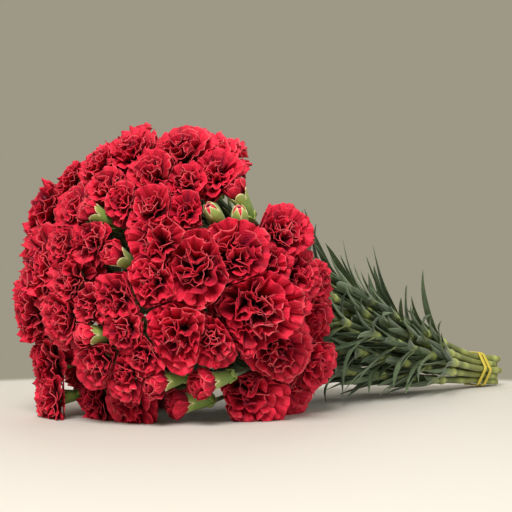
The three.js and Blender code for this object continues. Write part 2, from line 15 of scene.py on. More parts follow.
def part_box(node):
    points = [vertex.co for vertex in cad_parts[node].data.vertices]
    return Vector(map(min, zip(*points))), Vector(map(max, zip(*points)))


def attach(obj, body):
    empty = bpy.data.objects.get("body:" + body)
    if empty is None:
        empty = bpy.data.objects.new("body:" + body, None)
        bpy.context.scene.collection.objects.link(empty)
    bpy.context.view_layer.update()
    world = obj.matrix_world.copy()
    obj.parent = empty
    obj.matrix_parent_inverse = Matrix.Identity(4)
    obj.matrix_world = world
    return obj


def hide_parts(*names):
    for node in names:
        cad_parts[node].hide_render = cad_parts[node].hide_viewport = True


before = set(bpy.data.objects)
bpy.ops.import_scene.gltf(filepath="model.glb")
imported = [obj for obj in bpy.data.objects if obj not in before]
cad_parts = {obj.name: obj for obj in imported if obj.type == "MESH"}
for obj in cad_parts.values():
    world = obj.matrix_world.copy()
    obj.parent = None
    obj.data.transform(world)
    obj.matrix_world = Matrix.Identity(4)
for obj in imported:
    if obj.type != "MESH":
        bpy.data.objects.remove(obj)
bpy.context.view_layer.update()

# Head of blooms: a ball of this radius, flattened where it lies on the table
HEAD_CENTRE = np.array([0.0, 0.0, 103.0])
HEAD_RADIUS = 109
HEAD_DROP = 103
HEAD_SQUARENESS = 3.2
HEAD_SPREAD = math.radians(105)
BLOOM_INSET = 9

# Blooms placed by spacing alone: spots looked at, and how far apart, how high and how wide they are
FILL_SPOTS = 900
FILL_SPACING = 42
FILL_FROM = 14
FILL_RADIUS = 27
GOLDEN_TURN = 2.399963

# Heads too close to each other are pushed apart, by a share of what is short, in so many rounds
PUSH_ROUNDS = 40
PUSH_SHARE = 0.26
SPACING_BASE = 4
SPACING_SHARE = 0.55
SPACING_MOST = 24

# Way a head faces
FACING_FROM = np.array([58.0, 0.0, 96.0])
FACING_SHARE = 0.75
FACING_DROP = 0.3
LEVEL_UNDER = 60
LEAN_UNITS = 22

# Skyline of the head in sight units, and the steps in which a bloom placed by spacing sinks under it
SKYLINE = [(60, 190), (120, 152), (200, 152), (262, 216), (330, 285)]
SUNK_STEPS = 4
SUNK_STEP = 3

# Sight lines: a bloom is placed by its two angles from a far point, in sight units
SIGHT_POINT = np.array([-616.4, -747.1, 101.0])
SIGHT_FORWARD = np.array([0.682, 0.731, 0.0])
SIGHT_RIGHT = np.array([0.731, -0.682, 0.0])
SIGHT_UNITS = 1334
SIGHT_MIDDLE = (256, 275)
SIGHT_REACH = (780, 1130)

# Open blooms: sight x, sight y, radius in sight units
OPEN = [
    (42, 210, 32), (68, 180, 20), (72, 208, 24), (97, 163, 22), (104, 188, 19), (128, 151, 27),
    (180, 149, 30), (151, 172, 27), (120, 200, 21), (150, 208, 29), (155, 239, 34), (186, 180, 24),
    (187, 210, 23), (217, 178, 27), (283, 233, 29), (232, 255, 38), (194, 268, 44), (270, 264, 22),
    (295, 275, 26), (320, 284, 20), (252, 310, 50), (313, 321, 29), (276, 352, 32), (283, 384, 30),
    (315, 362, 25), (247, 392, 34), (88, 241, 23), (62, 248, 23), (68, 277, 28), (28, 313, 33),
    (62, 318, 29), (91, 306, 18), (114, 300, 27), (151, 281, 30), (126, 333, 24), (141, 354, 21),
    (178, 337, 37), (209, 341, 26), (45, 366, 28), (97, 361, 24), (48, 398, 24), (91, 397, 29),
    (126, 374, 20), (128, 399, 24),
]

# Half-open buds: sight x and y of the red tuft, then of the calyx it grows from
HALF_OPEN = [
    (90, 212, 110, 222), (230, 187, 246, 205), (115, 255, 122, 262), (88, 335, 104, 338),
    (160, 382, 172, 375), (207, 382, 222, 371), (183, 403, 205, 400),
]

# Closed buds, read the same way
CLOSED = [(207, 208, 213, 214), (239, 210, 241, 224)]

# Least radius of an open bloom, and the radii of the buds
OPEN_LEAST = 14.5
HALF_RADIUS = 11
CLOSED_RADIUS = 8

# Calyx: how deep its mouth lies in the bloom, in bloom radii, then its radius, and its length in radii
MOUTH_DEPTH = 0.62
CALYX_SHARE = 0.3
CALYX_LEAST = 4.8
CALYX_MOST = 7
BUD_CALYX = 5.6
CALYX_LENGTH = 3.2

# Bundle of stems: its ends, height and rise toward the head, its thickness and how it spreads
END_AT = 384
END_DRAW = 18
END_HEIGHT = 13.1
END_SLOPE = 0.105
RISE = 49.6
SINK = 1.34
PITCH = 6
STEM_RADIUS = 2.8
STEM_TOP_RADIUS = 2.0
BAND_AT = 349
TIED_FROM = 341
SPREAD = 0.0121
BRANCH_RADII = (1.8, 1.5)

# Rings of slots: how many stems, where they fork, polar angle of their spray in degrees
RINGS = [(1, 40, 0), (6, 66, 42), (12, 104, 84)]
NODES_AT = (296, 266, 236, 204, 172, 140)
NODE_DRAW = 14

# Rooms: steps along a stem, room about it, how far off a neighbour counts, and the least room of a head
STRAND_STEP = 20
STEM_ROOM = 3.3
NEIGHBOUR_REACH = 80
LEAST_ROOM = 4

# Room that leaves keep from a head, in its radii and beyond them, and from the table
HEAD_ROOM_SHARE = 1.2
HEAD_ROOM_MORE = 3
TABLE_ROOM = 2.5

# Leaves in pairs, as in the frame: angles in degrees, and what a draw adds to the least of each value
LEAF_WIDTH = 8.5
LEAF_STEPS = 2
LEAF_CHECKS = 26
LEAF_ROOT = 18
LEAF_TRIES = 140
LEAF_ROOM = 4.4
LEAF_TURN = 50
LEAF_TURN_DRAW = 110
LEAF_FIRST = (10, 18)
LEAF_LAST = (16, 52)
LEAF_LENGTH = (54, 36)

# Leaves of the side shoots: least and greatest of each drawn value, and how far they bend at the tip
SIDE_LEAVES = 6
SIDE_TRIES = 12
SIDE_WIDTH = 7.2
SIDE_ROOM = 1.1
SIDE_FAN = math.radians(260)
SIDE_SHIFT = 7
SIDE_FIRST = (0.04, 0.24)
SIDE_LAST = 0.1
SIDE_BEND = 0.8
SIDE_HANG = 0.6
SIDE_BEND_EASE = 1.6
SIDE_LENGTH = (40, 84)

# Leaves of the branches, drawn in the same way
BRANCH_JOINTS = (0.15, 0.32, 0.49, 0.66, 0.83)
BRANCH_WIDTH = 8.0
BRANCH_INSET = 14
BRANCH_SHIFT = 0.06
BRANCH_TURN = 0.5
BRANCH_FIRST = (0.1, 0.7)
BRANCH_LAST = (0.4, 1.5)
BRANCH_LENGTH = (26, 58)

# Band: its section in widths and thicknesses, and the angles of its rings about each corner stem
BAND_WIDTH = 3.2
BAND_THICK = 1.3
BAND_SLANT = 2.2
BAND_APART = 2
BAND_SECTION = [
    (-0.5, -0.3), (-0.32, -0.5), (0.32, -0.5), (0.5, -0.3),
    (0.5, 0.3), (0.32, 0.5), (-0.32, 0.5), (-0.5, 0.3),
]
BAND_RINGS = np.radians([-29, -18, -6, 6, 18, 29])

# Gap between pieces, thickness of the frame's petals, and how far blooms of one piece press together
GAP = 0.35
PETAL = 0.7
PRESS = 1.5

# Seed of all draws, and range of a drawn angle
SEED = 20261
FULL_TURN = 6.28

# Blooms near the table are pressed wide
LOW_UNDER = 45
LOW_SWELL = 1.22

# Petals: thickness, rows from the claw to the rim, and the part of its room from which a petal is eased
PETAL_THICK = 0.32
PETAL_ROWS = (0, 0.42, 0.75, 0.94, 1.0)
SOFT = 0.88

# Number of petals, how far the outermost tilts, share of calm ones, width and ruffle in bloom radii
PETALS = {
    "open": SimpleNamespace(
        least=17, per_mm=0.80, spread=2.25, ease=0.96, calm=0.16, width=0.52, ruffle=0.10, crumple=0.07
    ),
    "half": SimpleNamespace(
        least=17, per_mm=0, spread=1.1, ease=0.7, calm=0.8, width=0.56, ruffle=0.08, crumple=0
    ),
}

# Columns of a petal's grid, and least and most waves across it, for blooms under each radius
PETAL_COLUMNS = {17: 15, 23: 17, 29: 19, math.inf: 23}
PETAL_WAVES = {17: (1.5, 2.3), 29: (1.9, 3.0), math.inf: (2.4, 3.7)}

# Calyx profiles as parts of its length and radius, and how light each ring is
CALYX_BODY = [(0, 0.3), (0.05, 0.40), (0.16, 0.54), (0.34, 0.70), (0.6, 0.87), (0.85, 1.0), (1.0, 1.05)]
BUD_BODY = [(0, 0.3), (0.05, 0.52), (0.16, 0.76), (0.34, 0.9), (0.6, 0.98), (0.85, 1.04), (1.0, 1.05)]
CALYX_SHADES = (0.55, 0.45, 0.25, 0.15, 0.25, 0.45, 0.65)
BUD_PALE = 0.95

# Teeth of a calyx: rings up them, their height, how deep they part and how full they are; and its scales
TOOTH_STEPS = (0.3, 0.6, 0.82, 0.93, 1.0)
TEETH = {"open": (1.1, 0.05, 0.95, 1), "half": (1.3, 0.34, 0.66, 0.6), "closed": (1.5, 0.32, 0.68, 1)}
BRACTS = [(0, 0.34), (0.2, 0.56), (0.5, 0.74), (0.8, 0.86), (1.0, 0.90), (1.0, 0.70), (0.3, 0.30)]

# Stems: rings and sides, knobs at the joints and fainter ones where they are tied, and where they pale
STEM_RINGS = 80
STEM_SIDES = 10
KNOB_SWELL = 0.55
KNOB_LENGTH = 3.8
TIED_SWELL = 0.10
TIED_LENGTH = 3.4
PALE_FROM = 270
PALE_OVER = 60

# Leaves: steps along each sort and columns across it, width, keel and thickness along it, and how far toward
# the lit green a leaf's painted shade reaches
LEAF_RINGS = {LEAF_WIDTH: 14, SIDE_WIDTH: 9, BRANCH_WIDTH: 5}
LEAF_COLUMNS = (-1, -0.62, -0.25, 0, 0.25, 0.62, 1)
SMALL_COLUMNS = (-1, -0.5, 0, 0.5, 1)
LEAF_OUTLINE = ([0, 0.06, 0.18, 0.36, 0.6, 0.8, 0.93, 1], [0.5, 0.66, 0.9, 1, 0.78, 0.46, 0.2, 0.03])
LEAF_KEEL = ([0, 0.2, 0.7, 1], [0.34, 0.36, 0.2, 0.02])
LEAF_THICK = ([0, 0.3, 1], [1.0, 0.65, 0.3])
LEAF_SHADE = 0.92
BASE_FROM = 9
BASE_LENGTH = 12

# Colours, linear
# Painted shade: the red of petals deep in a bloom, down a calyx's throat and in a closed bud's folds
SHADED_RED = np.array([0.16, 0.0, 0.020])
RED = np.array([0.57, 0.006, 0.032])
# Painted light: the red of petals' lit outer parts and of a closed bud's lit top
LIT_RED = np.array([0.86, 0.020, 0.066])
# Painted highlight: the pale pink where a petal's rim or a closed bud's crest catches the light
RIM_HIGHLIGHT_PINK = np.array([0.84, 0.15, 0.17])
# Painted shade: the dark green of leaves lying in shade, each leaf mixed at random between it and LEAF_LIGHT
SHADED_LEAF_GREEN = np.array([0.022, 0.050, 0.020])
LEAF_LIGHT = np.array([0.165, 0.235, 0.122])
LEAF_BASE = np.array([0.38, 0.46, 0.16])
# The stems' own green, darkened as painted shade in the gaps between the leaves
SHADED_STEM_GREEN = np.array([0.070, 0.105, 0.045])
STEM_PALE = np.array([0.19, 0.22, 0.04])
NODE_PALE = np.array([0.48, 0.54, 0.15])
CUT_PALE = np.array([0.64, 0.66, 0.30])
CALYX_GREEN = np.array([0.11, 0.21, 0.03])
CALYX_LIGHT = np.array([0.30, 0.40, 0.085])
CREAM = np.array([0.82, 0.76, 0.40])
BAND_YELLOW = np.array([0.62, 0.50, 0.06])


def make_random(seed):
    """The same seeded numbers as the frame's solids were placed with."""
    state = (seed * 2654435761) & 0xFFFFFFFF

    def draw():
        nonlocal state
        state = (state * 1664525 + 1013904223) & 0xFFFFFFFF
        return state / 4294967296

    return draw


def mix(a, b, t):
    return a + (b - a) * t


def unit(v):
    return v / norm(v)


def circle(count):
    return np.arange(count) * 2 * math.pi / count


# Layout of the heads, stems and leaves, as in the frame

def head_level(point, inset):
    """Level of the head's surface, moved inward: below 0 inside, 0 on it."""
    x, y, z = point - HEAD_CENTRE
    reach, power = (HEAD_RADIUS, 2) if z > 0 else (HEAD_DROP, HEAD_SQUARENESS)
    return (math.hypot(x, y) / (HEAD_RADIUS - inset)) ** power + (abs(z) / (reach - inset)) ** power - 1


def sight_line(x, y):
    line = SIGHT_FORWARD + SIGHT_RIGHT * (x - SIGHT_MIDDLE[0]) / SIGHT_UNITS
    line[2] += (SIGHT_MIDDLE[1] - y) / SIGHT_UNITS
    return unit(line)


def on_head(x, y):
    """First point of the head's surface on a sight line, or the nearest the line comes to it."""
    line = sight_line(x, y)
    nearest, lowest = None, math.inf
    for distance in range(*SIGHT_REACH):
        point = SIGHT_POINT + line * distance
        level = head_level(point, BLOOM_INSET)
        if level < lowest:
            nearest, lowest = point, level
        if level <= 0:
            break
    return nearest


def toward_head(direction):
    level = head_level(HEAD_CENTRE + direction, BLOOM_INSET) + 1
    power = 2 if direction[2] > 0 else HEAD_SQUARENESS
    return HEAD_CENTRE + direction * level ** (-1 / power)


def facing(point, lean):
    """Way a bloom faces: out from a point behind the head's centre, level near the table."""
    out = unit(point - FACING_FROM)
    if lean is not None:
        out = out * FACING_SHARE + lean
    out[2] = max(out[2], -FACING_DROP + FACING_DROP * max(0, 1 - point[2] / LEVEL_UNDER))
    return unit(out)


def bud_lean(bud):
    x, y, from_x, from_y = bud
    lean = SIGHT_RIGHT * (x - from_x) / LEAN_UNITS
    lean[2] = (from_y - y) / LEAN_UNITS
    return lean


def new_head(kind, place, radius, lean=None):
    return SimpleNamespace(kind=kind, place=place, radius=radius, lean=lean, node=None)


def spread_heads(heads):
    """Pushes apart the heads that stand too close."""
    for _ in range(PUSH_ROUNDS):
        for a in heads:
            for b in heads:
                between = b.place - a.place
                length = math.sqrt(between @ between)
                spacing = min(SPACING_MOST, SPACING_BASE + SPACING_SHARE * (a.radius + b.radius))
                short = spacing - length
                if a is b or short <= 0:
                    continue
                between = between * (PUSH_SHARE * short / length)
                a.place = a.place - between
                b.place = b.place + between


def over_skyline(point):
    """Whether a point would show above the skyline."""
    way = point - SIGHT_POINT
    depth = way @ SIGHT_FORWARD
    x = SIGHT_MIDDLE[0] + SIGHT_UNITS * (way @ SIGHT_RIGHT) / depth
    y = SIGHT_MIDDLE[1] - SIGHT_UNITS * way[2] / depth
    xs, ys = zip(*SKYLINE)
    return xs[0] < x <= xs[-1] and y < np.interp(x, xs, ys)


def fill_head(heads):
    """Blooms on the sides out of sight: each at the spot farthest from all others."""
    spots = []
    for i in range(FILL_SPOTS):
        polar = math.acos(1 - 2 * (i + 0.5) / FILL_SPOTS)
        if polar > HEAD_SPREAD:
            break
        turn = i * GOLDEN_TURN
        side = math.sin(polar)
        spot = toward_head(np.array([-math.cos(polar), side * math.cos(turn), side * math.sin(turn)]))
        inward = unit(HEAD_CENTRE - spot) * SUNK_STEP
        for _ in range(SUNK_STEPS):
            if over_skyline(spot):
                spot = spot + inward
        if spot[2] > FILL_FROM and not over_skyline(spot):
            spots.append(spot)
    while True:
        rooms = [min(math.dist(spot, h.place) + FILL_RADIUS - h.radius for h in heads) for spot in spots]
        widest = max(rooms)
        if widest < FILL_SPACING:
            return
        heads.append(new_head("open", spots[rooms.index(widest)], FILL_RADIUS))


def place_heads():
    heads = []
    for x, y, size in OPEN:
        place = on_head(x, y)
        radius = size * math.dist(place, SIGHT_POINT) / SIGHT_UNITS
        heads.append(new_head("open", place, max(radius, OPEN_LEAST)))
    for bud in HALF_OPEN:
        heads.append(new_head("half", on_head(bud[0], bud[1]), HALF_RADIUS, bud_lean(bud)))
    for bud in CLOSED:
        heads.append(new_head("closed", on_head(bud[0], bud[1]), CLOSED_RADIUS, bud_lean(bud)))
    spread_heads(heads)
    fill_head(heads)
    for number, head in enumerate(heads):
        head.number = number
        head.axis = facing(head.place, head.lean)
        head.side = unit(np.cross([0, 0, 1], head.axis))
        head.other = np.cross(head.axis, head.side)
        head.mouth = head.place - head.axis * MOUTH_DEPTH * head.radius
        head.calyx = BUD_CALYX
        if head.kind == "open":
            head.calyx = min(max(CALYX_SHARE * head.radius, CALYX_LEAST), CALYX_MOST)
        head.foot = head.mouth - head.axis * CALYX_LENGTH * head.calyx
    return heads


def place_slots():
    """Slots of the stems in the bundle, and the part of the head each stem serves."""
    random = make_random(SEED)
    slots = []
    for ring, (count, fork, polar) in enumerate(RINGS):
        for k in range(count):
            angle = k * 2 * math.pi / count
            corner = math.sqrt(3) if ring == 2 and k % 2 == 1 else ring
            part = math.radians(polar) / HEAD_SPREAD
            slots.append(SimpleNamespace(
                ring=ring, angle=angle, fork=fork,
                y=corner * PITCH * math.cos(angle), z=corner * PITCH * math.sin(angle),
                part=(part * math.cos(angle), part * math.sin(angle)),
            ))
    for slot in slots:
        slot.end = END_AT - END_DRAW * random()
        slot.joints = [at + NODE_DRAW * (random() - 0.5) for at in NODES_AT] if slot.ring else []
    return slots


def axis_height(along):
    straight = END_HEIGHT + END_SLOPE * (END_AT - along)
    return straight + RISE * max(0, 1 - along / TIED_FROM) ** SINK


def stem_point(slot, along):
    wide = 1 + max(0, TIED_FROM - along) * SPREAD
    return np.array([along, slot.y * wide, axis_height(along) + slot.z * wide])


def make_sprays(heads, slots):
    """Each head joins the stem that serves its part of the dome."""
    for head in heads:
        p = unit(head.mouth - HEAD_CENTRE)
        polar = math.acos(-p[0]) / HEAD_SPREAD
        turn = math.atan2(p[2], p[1])
        part = (polar * math.cos(turn), polar * math.sin(turn))
        apart = [math.dist(slot.part, part) for slot in slots]
        head.spray = apart.index(min(apart))
        head.start = stem_point(slots[head.spray], slots[head.spray].fork)


def make_strands(slots, heads):
    """Straight runs of all stems and branches: their ends, thickness, spray, and whose they are."""
    runs = []
    for spray, slot in enumerate(slots):
        for at in np.arange(slot.fork, slot.end, STRAND_STEP):
            upper = stem_point(slot, min(at + STRAND_STEP, slot.end))
            runs.append((stem_point(slot, at), upper, STEM_ROOM, spray, -1))
    for head in heads:
        runs.append((head.start, head.foot, BRANCH_RADII[0], head.spray, head.number))
        runs.append((head.foot, head.mouth, head.calyx, head.spray, head.number))
    first, last, thick, spray, owner = (np.array(column) for column in zip(*runs))
    return SimpleNamespace(
        first=first, way=last - first, thick=thick, spray=spray, owner=owner,
        middle=(first + last) / 2, reach=norm(last - first, axis=1) / 2 + thick,
    )


def nearest_on(first, way, points):
    """Nearest point of every straight run to every point."""
    part = np.einsum("pmk,mk->pm", points[:, None] - first, way) / np.einsum("mk,mk->m", way, way)
    return first + np.clip(part, 0, 1)[..., None] * way


def make_rooms(heads, strands):
    """Room of each head: planes toward its neighbours, the stems and the branches."""
    for head in heads:
        normals, limits = [], []
        for other in heads:
            way = other.place - head.place
            apart = math.sqrt(way @ way)
            if other is head or apart > NEIGHBOUR_REACH:
                continue
            share = apart * head.radius / (head.radius + other.radius)
            shared = head.node and head.node == other.node
            normals.append(way / apart)
            limits.append(share + PRESS if shared else share - GAP / 2 - PETAL / 2)
        near = nearest_on(strands.first, strands.way, head.place[None])[0] - head.place
        apart = norm(near, axis=1)
        for i in np.nonzero(strands.owner != head.number)[0]:
            normals.append(near[i] / apart[i])
            limits.append(max(apart[i] - strands.thick[i] - GAP - PETAL / 2, LEAST_ROOM))
        normals, limits = np.array(normals), np.array(limits)
        close = limits < 2 * head.radius
        head.normals, head.limits = normals[close], limits[close]


def stem_root(slot, at, turn):
    """Where a leaf leaves a stem: its foot, the way the stem grows and the way out from it."""
    grow = unit(stem_point(slot, at - 1) - stem_point(slot, at + 1))
    out = np.array([0, math.cos(turn), math.sin(turn)])
    return {"foot": stem_point(slot, at), "grow": grow, "out": unit(out - grow * (out @ grow)), "owner": -1}


def branch_root(head, part, turn):
    """Where a leaf leaves a head's branch."""
    grow = unit(head.foot - head.start)
    side = unit(np.cross([0, 0, 1], grow))
    out = side * math.cos(turn) + np.cross(grow, side) * math.sin(turn)
    return {"foot": mix(head.start, head.foot, part), "grow": grow, "out": out, "owner": head.number}


def leaf_line(leaf, steps):
    """Middle line of a leaf: it leaves the joint along the stem and bends away from it."""
    points, backs = [leaf.foot], [leaf.out]
    for i in range(1, steps + 1):
        angle = mix(leaf.first, leaf.last, (i - 0.5) / steps)
        way = leaf.grow * math.cos(angle) + leaf.out * math.sin(angle)
        points.append(points[-1] + way * leaf.length / steps)
        backs.append(leaf.out * math.cos(angle) - leaf.grow * math.sin(angle))
    return np.cross(leaf.grow, leaf.out), np.array(points), np.array(backs)


def leaf_samples(leaf):
    """Points along a leaf's middle and both its edges."""
    side, points, _ = leaf_line(leaf, LEAF_STEPS)
    along = np.arange(1, LEAF_CHECKS + 1) * LEAF_STEPS / LEAF_CHECKS
    step = np.minimum(along.astype(int), LEAF_STEPS - 1)
    middle = mix(points[step], points[step + 1], (along - step)[:, None])
    return (middle[:, None] + side * np.array([-0.5, 0, 0.5])[:, None] * leaf.width).reshape(-1, 3)


def leaf_has_room(leaf, around, room):
    """Whether a leaf stands clear of the table, the blooms, the other sprays and their leaves."""
    samples, strands = leaf.samples, around.strands
    if samples[:, 2].min() < TABLE_ROOM:
        return False
    near = norm(around.places - leaf.middle, axis=1) < around.keep + leaf.reach
    to_heads = norm(samples[:, None] - around.places[near], axis=2)
    if (to_heads < around.keep[near]).any():
        return False
    for other in around.leaves:
        if math.dist(leaf.middle, other.middle) > leaf.reach + other.reach + room:
            continue
        start = LEAF_ROOT if other.spray == leaf.spray else 0
        products = samples[start:] @ other.samples[start:].T
        if (leaf.squares[start:, None] + other.squares[start:] - 2 * products).min() < room * room:
            return False
    near = norm(strands.middle - leaf.middle, axis=1) < strands.reach + leaf.reach + room
    if not near.any():
        return True
    nearest = nearest_on(strands.first[near], strands.way[near], samples)
    gaps = norm(nearest - samples[:, None], axis=2) - strands.thick[near]
    own = strands.spray[near] == leaf.spray
    gaps[:, own & (strands.owner[near] == leaf.owner)] = math.inf
    gaps[:LEAF_ROOT, own] = math.inf
    return gaps.min() >= room / 2


def try_leaf(root, around, room, inset=None, **values):
    """Adds a leaf with these values if it has room, and keeps inside the head where that is asked."""
    leaf = SimpleNamespace(**root, **values)
    leaf.samples = leaf_samples(leaf)
    leaf.squares = (leaf.samples ** 2).sum(axis=1)
    leaf.middle = leaf.samples.mean(axis=0)
    leaf.reach = norm(leaf.samples - leaf.middle, axis=1).max()
    tip = leaf.samples[-2]
    fits = inset is None or (head_level(tip, inset) < 0 and not over_skyline(tip))
    fits = fits and leaf_has_room(leaf, around, room)
    if fits:
        around.leaves.append(leaf)
    return fits


def place_leaves(slots, around):
    """Pairs of leaves at the joints, as in the frame."""
    random = make_random(SEED + 1)
    for spray, slot in enumerate(slots):
        for j, at in enumerate(slot.joints):
            for opposite in (0, 1):
                base = slot.angle + math.radians(LEAF_TURN if j % 2 else -LEAF_TURN) + math.pi * opposite
                for _ in range(LEAF_TRIES):
                    turn = base + math.radians(LEAF_TURN_DRAW) * (random() - 0.5)
                    if try_leaf(
                        stem_root(slot, at, turn), around, LEAF_ROOM, spray=spray, width=LEAF_WIDTH,
                        first=math.radians(LEAF_FIRST[0] + LEAF_FIRST[1] * random()),
                        last=math.radians(LEAF_LAST[0] + LEAF_LAST[1] * random()),
                        length=LEAF_LENGTH[0] + LEAF_LENGTH[1] * random(),
                    ):
                        break


def place_side_leaves(slots, around):
    """Leaves of the side shoots, on the outer side of each joint wherever they find room."""
    rng = np.random.default_rng(SEED + 2)
    for spray, slot in enumerate(slots):
        for at in slot.joints:
            for k in range(SIDE_LEAVES):
                for _ in range(SIDE_TRIES):
                    turn = slot.angle + SIDE_FAN * ((k + rng.uniform(0, 1)) / SIDE_LEAVES - 0.5)
                    bend = SIDE_BEND + SIDE_HANG * max(0, -math.sin(turn))
                    root = stem_root(slot, at + rng.uniform(-SIDE_SHIFT, SIDE_SHIFT), turn)
                    if try_leaf(
                        root, around, SIDE_ROOM, spray=spray, width=SIDE_WIDTH,
                        first=rng.uniform(*SIDE_FIRST),
                        last=SIDE_LAST + bend * rng.uniform(0, 1) ** SIDE_BEND_EASE,
                        length=rng.uniform(*SIDE_LENGTH),
                    ):
                        break


def place_branch_leaves(heads, around):
    """Small leaves in pairs along each branch, which darken the inside of the head."""
    rng = np.random.default_rng(SEED + 3)
    for head in heads:
        for part in BRANCH_JOINTS:
            turn = rng.uniform(0, math.pi)
            for opposite in (0, math.pi):
                for _ in range(SIDE_TRIES):
                    at = part + rng.uniform(-BRANCH_SHIFT, BRANCH_SHIFT)
                    if try_leaf(
                        branch_root(head, at, turn + opposite), around, SIDE_ROOM, BRANCH_INSET,
                        spray=head.spray, width=BRANCH_WIDTH,
                        first=rng.uniform(*BRANCH_FIRST),
                        last=rng.uniform(*BRANCH_LAST),
                        length=rng.uniform(*BRANCH_LENGTH),
                    ):
                        break
                    turn += rng.uniform(-BRANCH_TURN, BRANCH_TURN)


# Meshes

band_low, band_high = map(Vector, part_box("rubber_band"))
SHIFT = np.array(0.5 * (band_low + band_high)) * 1000 - np.array([BAND_AT, 0, 0])
SHIFT[2] = 0


def find_nodes(heads):
    """The frame's red node each bloom stands in, by the corners of its core. A closed bud has none."""
    clouds = {}
    for name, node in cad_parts.items():
        if name.startswith("blooms"):
            clouds[name] = np.array([vertex.co for vertex in node.data.vertices]) * 1000 - SHIFT
    for head in heads:
        if head.kind == "closed":
            continue
        start = make_random(SEED + 10 + head.number)() * 2 * math.pi
        half = head.kind == "half"
        turns = start + circle(4 if half or head.radius < 28 else 5)
        out = (0.42 if half else 0.26) * head.radius
        corners = head.mouth + head.axis * GAP + out * (
            np.cos(turns)[:, None] * head.side + np.sin(turns)[:, None] * head.other
        )
        apart = {
            name: norm(corners[:, None] - cloud, axis=2).min(axis=1).sum()
            for name, cloud in clouds.items()
        }
        head.node = min(apart, key=apart.get)


def new_object(name, data):
    made = bpy.data.objects.new(name, data)
    bpy.context.scene.collection.objects.link(made)
    return made


def skin(index):
    """Quads between each row of points and the next, all the way round."""
    after = np.roll(index, -1, axis=1)
    return np.stack([index[:-1], after[:-1], after[1:], index[1:]], axis=-1)


class Shape:
    """Closed bodies gathered into one mesh, with the paint and grain of each point."""

    def __init__(self):
        self.count = 0
        self.points, self.quads, self.tris, self.paint, self.grain = [], [], [], [], []

    def add(self, points, quads, tris, paint, grain):
        self.points.append(points)
        self.quads.append(np.asarray(quads, int).reshape(-1, 4) + self.count)
        self.tris.append(np.asarray(tris, int).reshape(-1, 3) + self.count)
        self.paint.append(np.broadcast_to(paint, points.shape))
        self.grain.append(np.broadcast_to(grain, points.shape))
        self.count += len(points)

    def loft(self, rings, paint, grain=0.0):
        """Skin over rings of points, its two ends closed by a fan."""
        rows, sides = rings.shape[:2]
        count = rows * sides
        index = np.arange(count).reshape(rows, sides)
        first, last = index[0], index[-1]
        bottom = np.stack([np.full(sides, count), np.roll(first, -1), first], axis=1)
        top = np.stack([np.full(sides, count + 1), last, np.roll(last, -1)], axis=1)

        def with_ends(values):
            values = np.broadcast_to(values, rings.shape)
            return np.vstack([values.reshape(-1, 3), values[[0, -1]].mean(axis=1)])

        fans = np.vstack([bottom, top])
        self.add(with_ends(rings), skin(index), fans, with_ends(paint), with_ends(grain))

    def piece(self, name, look, slot, *nodes):
        """Makes the mesh object that stands for these nodes of the frame."""
        points = (np.vstack(self.points) + SHIFT) / 1000
        faces = [*np.vstack(self.quads).tolist(), *np.vstack(self.tris).tolist()]
        mesh = bpy.data.meshes.new(name)
        mesh.from_pydata(points, [], faces, shade_flat=False)
        paint = mesh.attributes.new("paint", "FLOAT_COLOR", "POINT")
        paint.data.foreach_set("color", np.c_[np.vstack(self.paint), np.ones(len(points))].ravel())
        grain = mesh.attributes.new("grain", "FLOAT_VECTOR", "POINT")
        grain.data.foreach_set("vector", np.vstack(self.grain).ravel())
        mesh.validate()
        mesh.materials.append(look)
        obj = new_object(name, mesh)
        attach(obj, "root")
        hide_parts(*nodes)


def squash(head, points, ease):
    """Draws points in toward the head's middle so that they keep inside its room and above the table."""
    way = points - head.place
    reach = np.maximum(norm(way, axis=-1), 1e-6)
    way = way / reach[..., None]
    slope = way @ head.normals.T
    limit = np.where(slope > 0.02, head.limits / np.maximum(slope, 0.02), 1e6).min(axis=-1) * ease
    part = reach / limit
    eased = np.where(part < SOFT, part, SOFT + (1 - SOFT) * (1 - np.exp((SOFT - part) / (1 - SOFT))))
    kept = head.place + way * (eased * limit)[..., None]
    floor = PETAL / 2
    low = kept[..., 2] < floor
    share = np.where(low, (floor - kept[..., 2]) / np.maximum(head.place[2] - kept[..., 2], 1e-6), 0)
    return kept + share[..., None] * (head.place - kept)


def grid_faces(rows, columns):
    """Quads of a thin closed sheet: its upper grid, its lower one, and the edge between them."""
    index = np.arange(rows * columns).reshape(rows, columns)
    under = rows * columns
    upper = np.stack([index[:-1, :-1], index[:-1, 1:], index[1:, 1:], index[1:, :-1]], axis=-1).reshape(-1, 4)
    edge = np.concatenate([index[0, :-1], index[:-1, -1], index[-1, :0:-1], index[:0:-1, 0]])
    after = np.roll(edge, -1)
    rim = np.stack([edge, edge + under, after + under, after], axis=1)
    return np.vstack([upper, upper[:, ::-1] + under, rim])


def add_sheets(shape, grids, thick, paint, grain):
    """Adds thin closed sheets, each from a grid of its middle points."""
    count, rows, columns = grids.shape[:3]
    normal = np.cross(np.gradient(grids, axis=2), np.gradient(grids, axis=1))
    normal /= np.maximum(norm(normal, axis=-1, keepdims=True), 1e-9)
    both = np.stack([grids + normal * thick / 2, grids - normal * thick / 2], axis=1)
    each = 2 * rows * columns
    faces = grid_faces(rows, columns)
    quads = (faces[None] + each * np.arange(count)[:, None, None]).reshape(-1, 4)
    doubled = np.repeat(paint[:, None], 2, axis=1)
    grains = np.repeat(grain[:, None], 2, axis=1)
    shape.add(both.reshape(-1, 3), quads, [], doubled.reshape(-1, 3), grains.reshape(-1, 3))


def by_radius(table, radius):
    return next(value for limit, value in table.items() if radius < limit)


